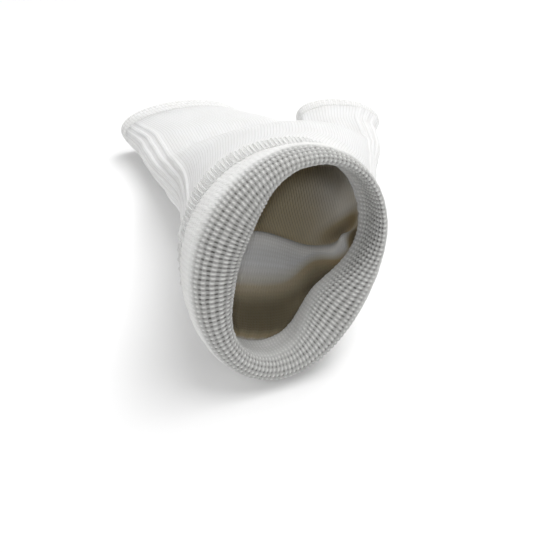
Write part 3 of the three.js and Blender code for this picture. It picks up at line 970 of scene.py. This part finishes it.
def spaced(path, count):
    """Evenly spaced points along a path, ends included."""
    length = np.concatenate([[0], np.cumsum(np.linalg.norm(np.diff(path, axis=0), axis=1))])
    at = np.linspace(0, length[-1], count)
    return np.column_stack([np.interp(at, length, path[:, i]) for i in range(path.shape[1])])


def cuff_path():
    """The roll's section at its mean depth: up the inside, round the nose and back along the outside."""
    deep = CUFF_MEAN_DEPTH
    corner = CUFF_BACK_CORNER
    inside = bezier([
        (CUFF_LONG, CUFF_BACK_DEEP), (CUFF_LONG, corner["depth"]),
        (corner["along"], deep), (CUFF_NOSE, deep),
    ], CUFF_INSIDE_STEPS)
    nose = bezier([
        (CUFF_NOSE, deep), (-CUFF_NOSE_PULL, deep),
        (-CUFF_NOSE_PULL, -CUFF_PROUD), (CUFF_NOSE, -CUFF_PROUD),
    ], CUFF_NOSE_STEPS)
    return np.vstack([inside, nose[1:], [(CUFF_LONG, -CUFF_PROUD)]])


def cuff_depth(shares):
    """The roll's depth round the mouth, on a smooth closed curve through its eight values."""
    at = np.mod(shares, 1) * len(CUFF_DEPTHS)
    first = at.astype(int)
    t = at - first
    before, start, end, after = (np.take(CUFF_DEPTHS, first + i, mode="wrap") for i in (-1, 0, 1, 2))
    square = 2 * before - 5 * start + 4 * end - after
    cube = 3 * (start - end) + after - before
    return start + t * (end - before + t * (square + t * cube)) / 2


def grid_normals(points):
    """Outward directions of a grid of rings that closes on itself both ways."""
    across = np.roll(points, -1, axis=1) - np.roll(points, 1, axis=1)
    along = np.roll(points, -1, axis=0) - np.roll(points, 1, axis=0)
    normal = np.cross(across, along)
    return normal / np.linalg.norm(normal, axis=2, keepdims=True)


class WRIST_OT_knit_cuff(bpy.types.Operator):
    """Knits the thick ribbed roll round the forearm mouth, stitch by stitch"""

    bl_idname = "wrist.knit_cuff"
    bl_label = "Knit cuff"

    def execute(self, context):
        cuff = context.scene.wrist_sleeve.cuff
        columns = cuff.wales * STITCH_COLUMNS
        shares = np.arange(columns) / columns
        rings = cuff.rows * ROW_RINGS
        path = spaced(cuff_path(), rings + 1)
        back = mix(path[-1], path[0], np.arange(1, CUFF_BACK_RINGS + 1)[:, None] / (CUFF_BACK_RINGS + 1))
        scale = cuff_depth(shares) / CUFF_MEAN_DEPTH
        section = np.vstack([path, back])
        points = np.array([tube_ring(along, shares, 0, -scale * depth) for along, depth in section])
        row = np.arange(len(section)) / ROW_RINGS
        knitted = np.where(np.arange(len(section)) <= rings, 1.0, 0.0)
        opened = self.openness(shares, row)
        relief = self.stitches(cuff, shares, row, opened * knitted[:, None])
        points += relief[..., None] * grid_normals(points)
        points[..., 2] = np.maximum(points[..., 2], 0)
        across = np.append(shares, 1) * cuff.wales
        counts = np.stack(np.meshgrid(across, np.append(row, row[-1] + 1 / ROW_RINGS)), axis=-1)
        rings_closed = closed(np.concatenate([points, points[:1]]))
        # The openness shapes the stitches and also sets where the rib's painted shade falls
        mask = closed(np.concatenate([opened, opened[:1]]))
        piece = sew(panel("knit_cuff", rings_closed, counts, {MASK: mask}))
        finish_piece(piece, thick_rib_material("Thick rib", cuff), "forearm_cuff")
        return {"FINISHED"}

    def openness(self, shares, row):
        """How far the stitches open up, from 0 at the smooth lip and the seam to 1 on the roll's face."""
        thumb = near_share(OPEN_THUMB, shares)
        top = near_share(OPEN_TOP, shares)
        off_row = row[:, None] - OPEN_ROW + OPEN_THUMB["rows"] * thumb - OPEN_TOP["rows"] * top
        fade = np.where(off_row < 0, OPEN_FADE + OPEN_THUMB["fade"] * thumb, OPEN_FADE)
        stretch = STRETCH["mean"] + STRETCH["swing"] * np.cos(4 * np.pi * (shares - STRETCH["share"]))
        return stretch * (1 - smoothstep(np.abs(off_row), OPEN_FULL, OPEN_FULL + fade))

    def stitches(self, cuff, shares, row, opened):
        """Height of each stitch, in millimetres: knotted where open, ridged further in, flat by the seam."""
        wale = shares * cuff.wales
        random = np.random.default_rng(STITCH_SEED)
        uneven = random.uniform(*STITCH_SIZES, (cuff.rows + 1, cuff.wales))
        size = uneven[np.minimum(row.astype(int), cuff.rows)[:, None], wale.astype(int)[None, :]]
        across = np.abs(np.sin(np.pi * wale))[None, :] ** STITCH_FULL["across"]
        along = np.abs(np.sin(np.pi * row))[:, None] ** STITCH_FULL["along"]
        knot = mix(1, across, KNOTTED["across"]) * mix(1, along, KNOTTED["along"])
        knotted = mix(KNOTTED["low"], 1, knot)
        opening = np.minimum(RIDGED["open_gain"] * opened, 1)
        ridged = RIDGED["level"] + RIDGED["across"] * across
        ridged = ridged + (RIDGED["open_across"] * across - RIDGED["open_sunk"]) * opening
        flat = FLAT["level"] + FLAT["across"] * across + FLAT["along"] * along
        closed_up = mix(ridged, flat, smoothstep(row, *FLAT_ROWS)[:, None])
        return cuff.relief / MM * size * mix(closed_up, knotted, opened)


def hem_section():
    """A turned hem's section: share of its length and inset, a rectangle with rounded edges."""
    angle = 2 * np.pi * np.arange(HEM_RINGS) / HEM_RINGS
    share = 0.5 - 0.5 * rounded(np.cos(angle), HEM_SQUARE)
    middle = (HEM_DEEP - HEM_PROUD) / 2
    return np.column_stack([share, middle - (middle + HEM_PROUD) * rounded(np.sin(angle), HEM_SQUARE)])


def hem_point_rings(branch, section):
    """Rings of a hem for shares of its length and insets."""
    columns = branch_columns(branch)
    root = with_web(tube_ring(NOTCH_ALONG, columns))
    rings = []
    for share, inset in section:
        inner = with_web(tube_ring(notch_along(inset), columns, inset))
        rings.append(branch_ring(branch, root, inner, mix(hem_reach(branch), 1, share), inset))
    return np.array(rings)


class WRIST_OT_turn_hems(bpy.types.Operator):
    """Turns the hems round the palm and thumb openings"""

    bl_idname = "wrist.turn_hems"
    bl_label = "Turn hems"

    def execute(self, context):
        knit = context.scene.wrist_sleeve.knit
        material = plain_knit_material("Hem knit", knit)
        for name, branch in HEMS.items():
            points = hem_point_rings(branch, hem_section())
            alongs = np.arange(HEM_RINGS + 1) * HEM_RING_LONG
            counts = stitch_counts(branch_shares(branch), alongs, knit.wales / 2, knit.course)
            rings = closed(np.concatenate([points, points[:1]]))
            piece = sew(panel(f"{name}_knit", rings, counts, {MASK: 0.0, WARM: 0.0}))
            finish_piece(piece, material, name)
        return {"FINISHED"}


def thread_material(color):
    """Sewing thread, a little darker between its fibres."""
    material = bpy.data.materials.get("Sewing thread")
    if material:
        return material
    material, tree = new_material("Sewing thread")
    fibre = lint_values(tree)["Fibre"]
    dark = (*(THREAD_MARKS["dark"] * part for part in color), 1)
    yarn_surface(tree, blend(tree, fibre, dark, (*color, 1)), fibre, THREAD_MARKS["bump"])
    return material


def thread_along(name, points, radius):
    """A closed thread through points: a rounded curve made into a mesh."""
    bpy.ops.object.select_all(action="DESELECT")
    bpy.ops.curve.primitive_nurbs_circle_add(radius=1)
    piece = bpy.context.object
    piece.name = name
    piece.location = (0, 0, 0)
    curve = piece.data
    curve.splines.clear()
    spline = curve.splines.new("POLY")
    spline.points.add(len(points) - 1)
    spline.points.foreach_set("co", np.column_stack([place(points), np.ones(len(points))]).ravel())
    spline.use_cyclic_u = True
    curve.dimensions = "3D"
    curve.bevel_depth = radius
    curve.bevel_resolution = 1
    bpy.ops.object.convert(target="MESH")
    bpy.ops.object.shade_smooth()
    return bpy.context.object


class WRIST_OT_sew_cuff(bpy.types.Operator):
    """Sews the cuff to the tube with a zigzag overlock thread"""

    bl_idname = "wrist.sew_cuff"
    bl_label = "Sew cuff"

    def execute(self, context):
        sleeve = context.scene.wrist_sleeve
        thread = sleeve.thread
        count = thread.overlock_stitches * OVERLOCK_STEPS
        points = []
        for i in range(count):
            share = np.array([OVERLOCK_TURNS * i / count % 1])
            phase = 2 * math.pi * i / OVERLOCK_STEPS
            swing = rounded(math.cos(phase), OVERLOCK_SQUARE)
            along = OVERLOCK_ALONG + OVERLOCK_SWING * swing
            lift = OVERLOCK_LIFT * (2 - abs(swing)) + OVERLOCK_CROSS * math.sin(phase)
            on_tube = cloth_lift(sleeve.knit, share, along) + lift
            on_cuff = smoothstep(along, CUFF_LONG + 2 * SEWN_GAP, CUFF_LONG)
            points.append(tube_ring(along, share, 0, mix(on_tube, OVERLOCK_CUFF_LIFT, on_cuff))[0])
        points = np.array(points)
        points[:, 2] = np.maximum(points[:, 2], thread.radius / MM)
        piece = thread_along("cuff_seam_thread", points, thread.radius)
        finish_piece(piece, thread_material(thread.color))
        return {"FINISHED"}


class WRIST_OT_sew_hems(bpy.types.Operator):
    """Sews two rows of stitches round each hem"""

    bl_idname = "wrist.sew_hems"
    bl_label = "Sew hems"

    def execute(self, context):
        thread = context.scene.wrist_sleeve.thread
        for name, branch in HEMS.items():
            piece = sew(*(self.stitch_row(branch, share, thread) for share in HEM_ROWS))
            piece.name = f"{name}_thread"
            finish_piece(piece, thread_material(thread.color))
        return {"FINISHED"}

    def stitch_row(self, branch, share, thread):
        """Copies of one stitch laid end to end round a hem."""
        ring = hem_point_rings(branch, [(share, -HEM_PROUD - HEM_THREAD_LIFT)])[0]
        ring = np.vstack([ring, ring[:1]])
        length = np.linalg.norm(np.diff(ring, axis=0), axis=1).sum()
        count = round(length * MM / thread.hem_stitch)
        dense = spaced(ring, count * STITCH_STEPS + 1)
        stitch = self.one_stitch(thread.radius * HEM_THREAD_SHARE / MM)
        middle = dense.mean(axis=0)
        copies = []
        for i in range(count):
            a, b = dense[STITCH_STEPS * i], dense[STITCH_STEPS * (i + 1) - 1]
            run = b - a
            out = (a + b) / 2 - middle
            out -= run * (out @ run) / (run @ run)
            out[1] = 0
            out /= np.linalg.norm(out)
            side = np.cross(out, run / np.linalg.norm(run))
            copies.append(a + stitch[:, :1] * run + stitch[:, 1:2] * side + stitch[:, 2:] * out)
        return self.copy_stitch(copies)

    def one_stitch(self, radius):
        """Corners of a stitch one unit long that dips at both ends, modelled from a cylinder."""
        bpy.ops.object.select_all(action="DESELECT")
        bpy.ops.mesh.primitive_cylinder_add(
            vertices=STITCH_SIDES, radius=radius, depth=1, rotation=(0, math.pi / 2, 0))
        self.stitch = bpy.context.object
        bpy.ops.object.transform_apply(location=False, rotation=True, scale=False)
        bpy.ops.object.mode_set(mode="EDIT")
        bpy.ops.mesh.select_all(action="DESELECT")
        bpy.ops.object.mode_set(mode="OBJECT")
        for edge in self.stitch.data.edges:
            a, b = (self.stitch.data.vertices[i].co for i in edge.vertices)
            edge.select = abs(a.x - b.x) > 0.5
        bpy.ops.object.mode_set(mode="EDIT")
        bpy.ops.mesh.select_mode(type="EDGE")
        bpy.ops.mesh.subdivide(number_cuts=STITCH_CUTS)
        bpy.ops.object.mode_set(mode="OBJECT")
        corners = np.array([vertex.co for vertex in self.stitch.data.vertices])
        end = np.abs(corners[:, 0]) * 2
        corners[:, 1:] *= (1 - STITCH_TAPER * end ** 4)[:, None]
        corners[:, 2] -= STITCH_DIP * radius * end ** 3
        corners[:, 0] += 0.5
        return corners

    def copy_stitch(self, copies):
        """One mesh of all the copies, and the pattern stitch removed."""
        objects = []
        for corners in copies:
            copy = self.stitch.copy()
            copy.data = self.stitch.data.copy()
            bpy.context.collection.objects.link(copy)
            corners[:, 2] = np.maximum(corners[:, 2], 0)
            copy.data.vertices.foreach_set("co", place(corners).ravel())
            objects.append(copy)
        bpy.data.objects.remove(self.stitch)
        return sew(*objects)


class WRIST_OT_set_stage(bpy.types.Operator):
    """Sets the floor, the soft light and the camera"""

    bl_idname = "wrist.set_stage"
    bl_label = "Set stage"

    def execute(self, context):
        stage = context.scene.wrist_sleeve.stage
        self.floor(stage)
        self.light(context.scene, stage)
        self.camera(context.scene, stage)
        return {"FINISHED"}

    def floor(self, stage):
        """A plain pale floor, wide enough to fill the view."""
        bpy.ops.object.select_all(action="DESELECT")
        bpy.ops.mesh.primitive_plane_add(size=FLOOR_SIZE)
        floor = bpy.context.object
        floor.name = "floor"
        material, tree = new_material("Pale floor")
        mottle = lint_values(tree)["Mottle"]
        shader = tree.node("ShaderNodeBsdfPrincipled", {
            "Base Color": (*stage.floor_color, 1),
            "Roughness": tree.math("MULTIPLY_ADD", mottle, FLOOR_ROUGH_RANGE, FLOOR_ROUGH),
            "Specular IOR Level": 0.2,
        })
        tree.node("ShaderNodeOutputMaterial", {"Surface": shader.outputs["BSDF"]})
        floor.data.materials.append(material)

    def light(self, scene, stage):
        """Even light from all round, soft lights on the sleeve and a beam into its mouth."""
        world = bpy.data.worlds.new("Studio")
        world.use_nodes = True
        tree = Tree(world.node_tree)
        sky = tree.node("ShaderNodeBackground", {"Color": (*WHITE, 1), "Strength": stage.sky})
        tree.node("ShaderNodeOutputWorld", {"Surface": sky.outputs["Background"]})
        scene.world = world
        for power, (kind, place_at, aim_at, sizes) in LIGHTS.items():
            name = power.capitalize()
            lamp = bpy.data.lights.new(name, kind)
            lamp.energy = getattr(stage, power)
            for key, value in sizes.items():
                setattr(lamp, key, value)
            lamp_object = bpy.data.objects.new(name, lamp)
            lamp_object.location = place_at
            aim = Vector(aim_at) - lamp_object.location
            lamp_object.rotation_euler = aim.to_track_quat("-Z", "Y").to_euler()
            scene.collection.objects.link(lamp_object)

    def camera(self, scene, stage):
        """The camera, turned round the sleeve and aimed at its target."""
        data = bpy.data.cameras.new("Camera")
        data.angle = stage.view_angle
        camera = bpy.data.objects.new("Camera", data)
        flat = math.cos(stage.elevation)
        ahead = Vector((
            -math.sin(stage.azimuth) * flat,
            math.cos(stage.azimuth) * flat,
            -math.sin(stage.elevation),
        ))
        camera.location = Vector(stage.target) - ahead * stage.distance
        camera.rotation_euler = ahead.to_track_quat("-Z", "Y").to_euler()
        data.clip_start, data.clip_end = CAMERA_CLIP
        scene.collection.objects.link(camera)
        scene.camera = camera
        scene.view_settings.view_transform = "Standard"


class WRIST_PT_sleeve(bpy.types.Panel):
    """Lists the sleeve's sizes and colours and the steps that make it"""

    bl_idname = "WRIST_PT_sleeve"
    bl_label = "Wrist Sleeve"
    bl_space_type = "VIEW_3D"
    bl_region_type = "UI"
    bl_category = "Wrist Sleeve"

    def draw(self, context):
        sleeve = context.scene.wrist_sleeve
        for group in (sleeve.knit, sleeve.cuff, sleeve.thread, sleeve.stage):
            box = self.layout.box()
            for name in group.__annotations__:
                box.prop(group, name)
        for step in STEPS:
            self.layout.operator(step.bl_idname)


SETTINGS = (KnitSettings, CuffSettings, ThreadSettings, StageSettings, SleeveSettings)
STEPS = (
    WRIST_OT_set_stage,
    WRIST_OT_knit_body,
    WRIST_OT_knit_cuff,
    WRIST_OT_turn_hems,
    WRIST_OT_sew_cuff,
    WRIST_OT_sew_hems,
)


def register():
    for item in (*SETTINGS, *STEPS, WRIST_PT_sleeve):
        bpy.utils.register_class(item)
    bpy.types.Scene.wrist_sleeve = bpy.props.PointerProperty(type=SleeveSettings)


def unregister():
    del bpy.types.Scene.wrist_sleeve
    for item in reversed((*SETTINGS, *STEPS, WRIST_PT_sleeve)):
        bpy.utils.unregister_class(item)


def main():
    register()
    bpy.ops.wrist.set_stage()
    bpy.ops.wrist.knit_body()
    bpy.ops.wrist.knit_cuff()
    bpy.ops.wrist.turn_hems()
    bpy.ops.wrist.sew_cuff()
    bpy.ops.wrist.sew_hems()


if __name__ == "__main__":
    main()
